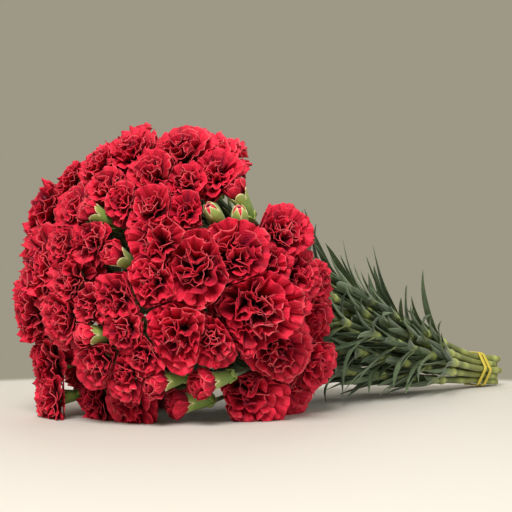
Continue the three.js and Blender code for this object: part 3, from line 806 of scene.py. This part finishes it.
def bloom_petals(head, rng):
    """Tilt from the axis and turn about it of each petal, the innermost first."""
    petals = PETALS[head.kind]
    count = int(petals.least + petals.per_mm * head.radius)
    tilt = petals.spread * ((np.arange(count) + 0.4) / count) ** petals.ease
    turn = np.arange(count) * GOLDEN_TURN + rng.uniform(0, FULL_TURN) + rng.uniform(-0.3, 0.3, count)
    return tilt + rng.uniform(-0.08, 0.08, count), turn


def bezier(a, b, c, t):
    return a * (1 - t) ** 2 + 2 * b * t * (1 - t) + c * t * t


def bezier_way(a, b, c, t):
    return 2 * (1 - t) * (b - a) + 2 * t * (c - b)


def petal_path(kind, tilt, inner, lift):
    """Out and up, in bloom radii, of the root, the bend and the tip of each petal."""
    if kind == "half":
        tip_out = 0.78 * np.sin(tilt) - 0.04 * inner
        tip_up = lift + 0.98 + 0.44 * np.cos(tilt)
        return (0.40 * tip_out, 0.16 + 0.96 * tip_out, tip_out), (0.02, 0.52, tip_up)
    droop = np.clip(tilt - 1.3, 0, 1)
    tip_out = 1.24 * np.sin(tilt) - 0.10 * inner + 0.28 * droop
    tip_up = lift + 0.44 + 0.48 * np.cos(tilt) - 0.62 * droop
    bend_out = 0.10 + 0.40 * tip_out + 0.10 * inner
    return (0.12 * np.clip(tip_out, 0, 1), bend_out, tip_out), (0.02, 0.36 + 0.32 * tip_up, tip_up)


def petal_width(petals, tip_out, v, per_petal):
    """Half width of each petal, in bloom radii, from its narrow claw to its rim."""
    wide = petals.width * mix(0.74, 1.0, np.clip(tip_out, 0, 1)) * per_petal(0.86, 1.14)
    return wide * (0.16 + 0.84 * v ** 1.1)


def petal_ruffle(petals, radius, u, v, inner, calm, wide, per_petal):
    """Wave across each petal and its start, and how far it lifts the petal and slides it sideways."""
    waves = per_petal(*by_radius(PETAL_WAVES, radius))
    phase = per_petal(0, FULL_TURN)
    wave = waves * (1 - 0.35 * inner) * math.pi * u + phase
    swell = v ** 1.6 * per_petal(0.7, 1.3) * (petals.ruffle + petals.crumple * inner) * calm
    lift = swell * (np.sin(wave) + 0.5 * np.sin(2.35 * wave + per_petal(0, FULL_TURN)))
    lift = lift + (per_petal(-0.12, 0.25) + per_petal(-0.7, 0.9) * inner * v) * wide * u * u
    return wave, phase, lift, wide * u + 0.42 * swell * np.sin(2 * wave)


def petal_paint(v, inner, wave, per_petal):
    """Colour of each petal, with painted light and shade: painted shade at its claw and in the bloom's
    middle, painted light outward and on the crests of its ruffles, a painted highlight at its rim, and a
    random tone per petal.
    """
    # Painted highlight along the rim of some petals
    rim = (np.clip((v - 0.95) / 0.05, 0, 1) * per_petal(-0.35, 0.75).clip(0, 1))[..., None]
    # Painted light and shade: lighter toward the rim and on ruffle crests, darker in the bloom's middle, with
    # a random tone per petal
    painted_light = 0.62 * v ** 1.6 + 0.22 * np.sin(wave) * v + per_petal(-0.10, 0.34) - 0.26 * inner
    painted_light = np.clip(painted_light, 0, 1)[..., None]
    paint = mix(SHADED_RED, RED, np.clip(painted_light * 2, 0, 1))
    paint = mix(paint, LIT_RED, np.clip(painted_light * 2 - 1, 0, 1))
    return mix(paint, RIM_HIGHLIGHT_PINK, rim)


def add_bloom(shape, head):
    """A bloom's petals: fans on narrow claws, ruffled toward a toothed rim, crumpled in the middle."""
    rng = np.random.default_rng(SEED + head.number)
    petals = PETALS[head.kind]
    radius = head.radius * (LOW_SWELL if head.place[2] < LOW_UNDER else 1)
    height = radius if head.kind == "half" else head.radius
    tilt, turn = bloom_petals(head, rng)
    count, rows, columns = len(tilt), len(PETAL_ROWS), by_radius(PETAL_COLUMNS, head.radius)

    def per_petal(low, high):
        return rng.uniform(low, high, count)[:, None, None]

    u = np.broadcast_to(np.linspace(-1, 1, columns), (count, rows, columns))
    v = np.broadcast_to(np.array(PETAL_ROWS)[:, None], (count, rows, columns))
    tilt, turn = tilt[:, None, None], turn[:, None, None]
    inner = np.clip(1 - tilt / 0.9, 0, 1)
    calm = np.where(per_petal(0, 1) < petals.calm, 0.4, 1.0)
    teeth = np.where(np.arange(columns) % 2, 0.016, -0.014) * (v > 0.99) * calm
    length = v * (1 - 0.14 * u ** 2 * v - 0.10 * u ** 8 * v) + teeth * per_petal(0.4, 1.4)
    outs, ups = petal_path(head.kind, tilt, inner, per_petal(-0.07, 0.07))
    way_out, way_up = bezier_way(*outs, length), bezier_way(*ups, length)
    size = np.hypot(way_out, way_up)
    wide = petal_width(petals, outs[-1], v, per_petal)
    wave, phase, lift, slide = petal_ruffle(petals, radius, u, v, inner, calm, wide, per_petal)
    out = bezier(*outs, length) - way_up / size * lift
    up = bezier(*ups, length) + way_out / size * lift
    angle = turn + per_petal(-0.2, 0.2) * v
    radial = np.cos(angle)[..., None] * head.side + np.sin(angle)[..., None] * head.other
    sideways = -np.sin(angle)[..., None] * head.side + np.cos(angle)[..., None] * head.other
    grids = head.mouth + radius * (radial * out[..., None] + sideways * slide[..., None])
    grids = squash(head, grids + head.axis * (GAP + height * up[..., None]), per_petal(0.90, 1.06))
    paint = petal_paint(v, inner, wave, per_petal)
    grain = np.stack([u * wide * radius, v * radius, np.broadcast_to(phase, u.shape)], axis=-1)
    add_sheets(shape, grids, PETAL_THICK, paint, grain)


def disc(head, along, radius, angles):
    """Ring of points about a head's axis, `along` past its foot."""
    along, radius = np.broadcast_to(along, angles.shape), np.broadcast_to(radius, angles.shape)
    side = np.cos(angles)[:, None] * head.side + np.sin(angles)[:, None] * head.other
    return head.foot + head.axis * along[:, None] + side * radius[:, None]


def calyx_body(head, angles):
    """Rings and paint of a calyx's tube."""
    closed = head.kind == "closed"
    rings, paint = [], []
    for (part, reach), light in zip(BUD_BODY if closed else CALYX_BODY, CALYX_SHADES):
        rings.append(disc(head, CALYX_LENGTH * head.calyx * part, head.calyx * reach, angles))
        shade = mix(CALYX_GREEN, CALYX_LIGHT, min(light + BUD_PALE * closed, 1))
        paint.append(np.broadcast_to(shade, (len(angles), 3)))
    return rings, paint


def calyx_teeth(head, angles):
    """Rings and paint of a calyx's five teeth, up their outer side and down the inner one."""
    closed = head.kind == "closed"
    size = head.calyx
    lobe = np.abs(np.sin(2.5 * angles))
    height, least, more, power = TEETH[head.kind]
    tooth = least + more * lobe ** power
    edge = (1.0 if closed else 0.8) * np.clip(1 - lobe / 0.45, 0, 1)[:, None]
    rings, paint = [], []
    for i, t in enumerate((*TOOTH_STEPS, 1.0, 0.5, 0.0)):
        inside = i >= len(TOOTH_STEPS)
        rise = t * tooth
        reach = 1.05 - 0.58 * rise ** 2.0 if closed else 1.05 + 0.30 * rise
        along = CALYX_LENGTH * size + height * size * rise
        rings.append(disc(head, along, size * reach - 0.45 * inside, angles))
        cream = 0.3 if inside else np.clip((t - 0.78) / 0.2, 0, 1)
        paint.append(mix(CALYX_LIGHT, CREAM, np.clip(cream + edge * (t > 0.2), 0, 1)))
    return rings, paint


def add_calyx(shape, head):
    """A tubular calyx with five cream-edged teeth; on a closed bud they meet over its tip."""
    count = 30 if head.kind == "open" else 60
    angles = circle(count)
    size = head.calyx
    rings, paint = calyx_body(head, angles)
    tooth_rings, tooth_paint = calyx_teeth(head, angles)
    inside = disc(head, CALYX_LENGTH * size - 0.4 * size, 0.8 * size, angles)
    # The throat is closed in deep red, as painted shade under the petals
    inside_paint = np.broadcast_to(SHADED_RED, (count, 3))
    shape.loft(np.array([*rings, *tooth_rings, inside]), np.array([*paint, *tooth_paint, inside_paint]))


def add_bracts(shape, head):
    """Four pale-tipped scales that clasp the foot of a calyx."""
    angles = circle(32)
    scale = np.abs(np.sin(2 * angles + 0.6)) ** 0.7
    size = head.calyx
    rings = [disc(head, size * (0.15 + 1.15 * t * scale), size * reach, angles) for t, reach in BRACTS]
    paint = np.array([mix(CALYX_GREEN, CALYX_LIGHT, t) for t, _ in BRACTS])
    shape.loft(np.array(rings), paint[:, None])


def add_tip(shape, head):
    """Folded red petals that show between the teeth of a closed bud, with painted light toward their top, a
    painted highlight on their crest and painted shade down into their middle.
    """
    angles = circle(40)
    size = head.calyx
    rings, paint = [], []
    for along, reach, colour in (
        (0.2, 0.84, RED), (0.6, 0.82, RED), (0.95, 0.66, LIT_RED), (1.2, 0.48, LIT_RED),
        (1.36, 0.34, RIM_HIGHLIGHT_PINK), (1.2, 0.24, SHADED_RED), (0.9, 0.10, SHADED_RED),
    ):
        folds = 1 + 0.05 * np.sin(7 * angles + 4 * along)
        rings.append(disc(head, CALYX_LENGTH * size + along * size, reach * size * folds, angles))
        paint.append(colour)
    shape.loft(np.array(rings), np.array(paint)[:, None])


def tube_rings(points, radii, sides):
    """Rings about a path, turned as little as its bends allow."""
    ways = np.gradient(points, axis=0)
    ways /= norm(ways, axis=1, keepdims=True)
    side = np.array([0.0, 1.0, 0.0])
    angles = circle(sides)
    rings = []
    for point, way, radius in zip(points, ways, radii):
        side = unit(side - way * (side @ way))
        other = np.cross(way, side)
        rings.append(point + radius * (np.cos(angles)[:, None] * side + np.sin(angles)[:, None] * other))
    return np.array(rings)


def knobs(along, places, length):
    """How much of a knob each place along a stem has, from 0 to 1."""
    return np.exp(-((along[:, None] - places) / length) ** 2).max(axis=1)


def add_stem(shape, slot, index):
    """Stem from its cut end to its fork, swollen and pale at each joint."""
    along = np.linspace(slot.end - 1, slot.fork, STEM_RINGS)
    along = np.concatenate([[slot.end, slot.end], along, [slot.fork - 3]])
    points = np.array([stem_point(slot, a) for a in along])
    points[0, 0] += 0.01
    near = knobs(along, [*slot.joints, slot.fork + 2], KNOB_LENGTH)
    tied = knobs(along, [slot.end - 8, TIED_FROM - 10 - 1.3 * (END_AT - slot.end)], TIED_LENGTH)
    radii = mix(STEM_TOP_RADIUS, STEM_RADIUS, np.minimum(1, along / BAND_AT))
    radii = radii * (1 + KNOB_SWELL * near + TIED_SWELL * tied)
    radii[0], radii[-1] = 0.72 * radii[1], 0.5 * radii[-2]
    pale = np.clip((along - PALE_FROM) / PALE_OVER, 0, 1)
    # Stem green darkened as painted shade, paling toward the cut end
    paint = mix(SHADED_STEM_GREEN, STEM_PALE, pale[:, None])
    paint = mix(paint, NODE_PALE, np.maximum(near, 0.7 * tied)[:, None])
    paint[:2] = CUT_PALE
    shape.loft(tube_rings(points, radii, STEM_SIDES), paint[:, None], index)


def add_branch(shape, head):
    """Branch from the fork to a head's calyx, straight with eased ends."""
    apart = math.dist(head.start, head.foot)
    ease = min(0.16 * apart, 9)
    straight = unit(head.foot - head.start)
    corners = [head.start, head.start + straight * ease, head.foot - straight * ease, head.foot]
    corners.append(head.foot + head.axis * 0.35 * head.calyx)
    path = [head.start + straight * t * (apart - ease) for t in np.linspace(0, 1, 8)]
    bend = np.linspace(0, 1, 6)[1:, None]
    path = np.vstack([path, bezier(corners[2], corners[3], corners[4], bend)])
    radii = np.linspace(*BRANCH_RADII, len(path))
    radii[0] = 2.4
    # A mix of the stems' green, darkened as painted shade, and the leaves' light green
    green = mix(SHADED_STEM_GREEN, LEAF_LIGHT, 0.6)
    shape.loft(tube_rings(path, radii, 8), green, head.number)


def leaf_paint(leaf, s, u, rng):
    """Green of a leaf: painted shade drawn at random toward the lit green, a painted highlight along its keel
    and edges, and its own pale green at its foot.
    """
    # Painted shade: each leaf lies at random between a shaded and a lit green
    green = mix(SHADED_LEAF_GREEN, LEAF_LIGHT, rng.uniform(0.0, LEAF_SHADE))
    # Painted highlight along the keel and both edges
    edge = np.clip(np.abs(u) * 3 - 2.2, 0, 1) + np.clip(1 - np.abs(u) * 5, 0, 1)
    paint = mix(green, LEAF_LIGHT * 1.2, 0.5 * edge[None, :, None] * np.ones((len(s), 1, 1)))
    base = np.clip(1 - (s * leaf.length - BASE_FROM) / BASE_LENGTH, 0, 1)
    return mix(paint, LEAF_BASE, base[:, None, None])


def add_leaf(shape, leaf, rng):
    """A long keeled leaf, pale where it clasps its joint, drawn out to a fine point."""
    steps = LEAF_RINGS[leaf.width]
    side, points, backs = leaf_line(leaf, steps)
    s = np.linspace(0, 1, steps + 1)
    half = 0.47 * leaf.width * np.interp(s, *LEAF_OUTLINE)
    twist = rng.uniform(-0.8, 0.8) * s ** 1.3
    across = np.cos(twist)[:, None] * side + np.sin(twist)[:, None] * backs
    back = (np.cos(twist)[:, None] * backs - np.sin(twist)[:, None] * side)[:, None]
    keel = np.interp(s, *LEAF_KEEL) * half.max()
    u = np.array(LEAF_COLUMNS if leaf.width == LEAF_WIDTH else SMALL_COLUMNS)
    wave = rng.uniform(0.2, 0.6) * np.sin(s * rng.uniform(6, 11) + rng.uniform(0, FULL_TURN)) * s
    depth = keel[:, None] * (1 - np.abs(u)) ** 0.9 + wave[:, None] * u ** 2
    upper = points[:, None] + across[:, None] * (half[:, None] * u)[..., None] + back * depth[..., None]
    thick = np.interp(s, *LEAF_THICK)[:, None] * (1.25 - 0.95 * np.abs(u) ** 1.5)
    lower = upper + back * thick[..., None]
    rings = np.concatenate([upper, lower[:, ::-1]], axis=1)
    u = np.concatenate([u, u[::-1]])
    paint = leaf_paint(leaf, s, u, rng)
    grain = [half[:, None] * u, (s * leaf.length)[:, None], np.full((1, 1), leaf.first)]
    grain = np.stack(np.broadcast_arrays(*grain), axis=-1)
    shape.loft(rings[:, ::-1], paint, grain[:, ::-1])


def add_band_turn(shape, shift, slant):
    """One turn of the band round the corner stems, slanted along the bundle."""
    out = STEM_RADIUS + GAP + 0.25 + BAND_THICK / 2
    rings = []
    for corner in range(6):
        middle = math.radians(60 * corner)
        for turn in middle + BAND_RINGS:
            x = BAND_AT + shift + slant * math.cos(turn - 0.7)
            ring = []
            for wide, thick in BAND_SECTION:
                reach = out + thick * BAND_THICK
                y = 2 * PITCH * math.cos(middle) + reach * math.cos(turn)
                z = 2 * PITCH * math.sin(middle) + reach * math.sin(turn)
                ring.append([x + wide * BAND_WIDTH, y, axis_height(x) + z])
            rings.append(ring)
    points = np.reshape(rings, (-1, 3))
    index = np.arange(len(points)).reshape(len(rings), -1)
    shape.add(points, skin(np.vstack([index, index[:1]])), [], BAND_YELLOW, 0.0)


# Materials

def new_look(name):
    look = bpy.data.materials.new(name)
    look.use_nodes = True
    return look, look.node_tree, look.node_tree.nodes["Principled BSDF"]


def set_values(node, values):
    for name, value in values.items():
        node.inputs[name].default_value = value


def attribute(tree, name, output):
    made = tree.nodes.new("ShaderNodeAttribute")
    made.attribute_name = name
    return made.outputs[output]


def noise(tree, scale):
    """Noise in object coordinates, so many waves to the metre."""
    place = tree.nodes.new("ShaderNodeTexCoord")
    made = tree.nodes.new("ShaderNodeTexNoise")
    set_values(made, {"Scale": scale, "Detail": 3.0})
    tree.links.new(place.outputs["Object"], made.inputs["Vector"])
    return made.outputs["Fac"]


def ranged(tree, value, low, high, start=0.25, end=0.75):
    made = tree.nodes.new("ShaderNodeMapRange")
    set_values(made, {"From Min": start, "From Max": end, "To Min": low, "To Max": high})
    tree.links.new(value, made.inputs["Value"])
    return made.outputs["Result"]


def paint_surface(tree, shader, scale, low, high):
    """Colours a surface by its points' paint, mottled by noise."""
    made = tree.nodes.new("ShaderNodeVectorMath")
    made.operation = "SCALE"
    tree.links.new(attribute(tree, "paint", "Color"), made.inputs[0])
    tree.links.new(ranged(tree, noise(tree, scale), low, high), made.inputs["Scale"])
    tree.links.new(made.outputs["Vector"], shader.inputs["Base Color"])


def maths(tree, operation, *values):
    """A maths node on links and plain numbers."""
    made = tree.nodes.new("ShaderNodeMath")
    made.operation = operation
    for socket, value in zip(made.inputs, values):
        if isinstance(value, float):
            socket.default_value = value
        else:
            tree.links.new(value, socket)
    return made.outputs[0]


def stripes(tree, scale, wobble):
    """Fine lines along a surface, from its grain across them."""
    split = tree.nodes.new("ShaderNodeSeparateXYZ")
    tree.links.new(attribute(tree, "grain", "Vector"), split.inputs[0])
    bent = maths(tree, "MULTIPLY_ADD", noise(tree, wobble), 1.5, split.outputs["X"])
    return maths(tree, "SINE", maths(tree, "MULTIPLY", bent, scale))


def bump(tree, shader, height, strength, distance):
    made = tree.nodes.new("ShaderNodeBump")
    set_values(made, {"Strength": strength, "Distance": distance})
    tree.links.new(height, made.inputs["Height"])
    tree.links.new(made.outputs["Normal"], shader.inputs["Normal"])


def petal_look():
    look, tree, shader = new_look("petal_red")
    paint_surface(tree, shader, 260.0, 0.80, 1.18)
    set_values(shader, {
        "Roughness": 0.62, "Specular IOR Level": 0.28,
        "Sheen Weight": 0.10, "Sheen Roughness": 0.45, "Sheen Tint": (1.0, 0.35, 0.35, 1.0),
    })
    bump(tree, shader, stripes(tree, 5.5, 300.0), 0.35, 0.0003)
    return look


def green_look():
    look, tree, shader = new_look("stem_green")
    paint_surface(tree, shader, 120.0, 0.78, 1.22)
    tree.links.new(ranged(tree, noise(tree, 90.0), 0.42, 0.62), shader.inputs["Roughness"])
    set_values(shader, {"Specular IOR Level": 0.4, "Sheen Weight": 0.15, "Sheen Roughness": 0.5})
    bump(tree, shader, stripes(tree, 7.0, 60.0), 0.3, 0.0002)
    return look


def band_look():
    look, tree, shader = new_look("band_rubber")
    paint_surface(tree, shader, 500.0, 0.88, 1.1)
    set_values(shader, {"Roughness": 0.48})
    bump(tree, shader, noise(tree, 1500.0), 0.2, 0.0002)
    return look


# The bunch

heads = place_heads()
slots = place_slots()
make_sprays(heads, slots)
find_nodes(heads)
strands = make_strands(slots, heads)
make_rooms(heads, strands)
around = SimpleNamespace(
    strands=strands, leaves=[], places=np.array([head.place for head in heads]),
    keep=np.array([HEAD_ROOM_SHARE * head.radius + HEAD_ROOM_MORE for head in heads]),
)
place_leaves(slots, around)
place_side_leaves(slots, around)
place_branch_leaves(heads, around)

petal_red, stem_green, band_rubber = petal_look(), green_look(), band_look()

for name in sorted({head.node for head in heads} - {None}):
    shape = Shape()
    for head in heads:
        if head.node == name:
            add_bloom(shape, head)
    shape.piece(name.replace("blooms", "petals"), petal_red, "petal_red", name)

for spray, slot in enumerate(slots):
    rng = np.random.default_rng(SEED + 500 + spray)
    shape = Shape()
    add_stem(shape, slot, spray)
    for head in heads:
        if head.spray == spray:
            add_branch(shape, head)
            add_calyx(shape, head)
            add_bracts(shape, head)
            if head.kind == "closed":
                add_tip(shape, head)
    for leaf in around.leaves:
        if leaf.spray == spray:
            add_leaf(shape, leaf, rng)
    shape.piece(f"spray_{spray + 1:02d}", stem_green, "stem_green", f"stem_{spray + 1:02d}")

shape = Shape()
add_band_turn(shape, -BAND_APART, BAND_SLANT)
add_band_turn(shape, BAND_APART, -BAND_SLANT)
shape.piece("band", band_rubber, "band_rubber", "rubber_band")


# Floor, light and camera

PALE_FLOOR = (0.66, 0.635, 0.60, 1)
BACKDROP = (0.343, 0.314, 0.240, 1)
FLOOR_MIDDLE = np.array([-2.6, -89.0, 0.0])
FLOOR_EDGE = (0.425, 0.475)
FLOOR_HALF = 0.6
LIGHTS_AIM = Vector((0, 0, 0.08))
PICTURE_WIDTH = 512
SENSOR_WIDTH = 36


def make_floor():
    """A pale round floor that ends softly in the backdrop."""
    look, tree, shader = new_look("floor")
    link = tree.links.new
    place = tree.nodes.new("ShaderNodeTexCoord")
    far = tree.nodes.new("ShaderNodeVectorMath")
    far.operation = "LENGTH"
    link(place.outputs["Object"], far.inputs[0])
    fade = ranged(tree, far.outputs["Value"], 0.0, 1.0, *FLOOR_EDGE)
    fade.node.interpolation_type = "SMOOTHSTEP"
    set_values(shader, {"Base Color": PALE_FLOOR, "Roughness": 0.7})
    clear = tree.nodes.new("ShaderNodeBsdfTransparent")
    blend = tree.nodes.new("ShaderNodeMixShader")
    for socket, part in zip(blend.inputs, (fade, shader.outputs[0], clear.outputs[0])):
        link(part, socket)
    link(blend.outputs[0], tree.nodes["Material Output"].inputs["Surface"])
    mesh = bpy.data.meshes.new("floor")
    corners = [(x * FLOOR_HALF, y * FLOOR_HALF, 0) for x, y in ((-1, -1), (1, -1), (1, 1), (-1, 1))]
    mesh.from_pydata(corners, [], [(0, 1, 2, 3)])
    mesh.materials.append(look)
    floor = new_object("floor", mesh)
    floor.location = Vector((FLOOR_MIDDLE + SHIFT) / 1000)


def make_light(name, place, size, power, colour):
    data = bpy.data.lights.new(name, "AREA")
    data.shape = "DISK"
    data.size = size
    data.energy = power
    data.color = colour
    light = new_object(name, data)
    light.location = place
    light.rotation_euler = (LIGHTS_AIM - Vector(place)).to_track_quat("-Z", "Y").to_euler()


def make_camera():
    data = bpy.data.cameras.new("camera")
    data.sensor_width = SENSOR_WIDTH
    data.lens = SIGHT_UNITS / PICTURE_WIDTH * SENSOR_WIDTH
    camera = new_object("camera", data)
    camera.location = Vector((SIGHT_POINT + SHIFT) / 1000)
    rise = (SIGHT_MIDDLE[1] - PICTURE_WIDTH / 2) / SIGHT_UNITS
    forward = Vector((*SIGHT_FORWARD[:2], rise))
    camera.rotation_euler = forward.to_track_quat("-Z", "Y").to_euler()
    bpy.context.scene.camera = camera


make_floor()
make_light("key", (-1.3, -0.9, 1.6), 1.0, 52, (1.0, 0.97, 0.92))
make_light("fill", (0.6, -1.6, 0.8), 1.6, 8, (0.95, 0.97, 1.0))
make_light("back", (1.0, 1.2, 1.4), 1.4, 9, (1.0, 0.98, 0.95))
make_camera()

world = bpy.data.worlds.new("studio")
world.use_nodes = True
set_values(world.node_tree.nodes["Background"], {"Color": BACKDROP, "Strength": 1.0})
bpy.context.scene.world = world
bpy.context.scene.view_settings.view_transform = "Standard"
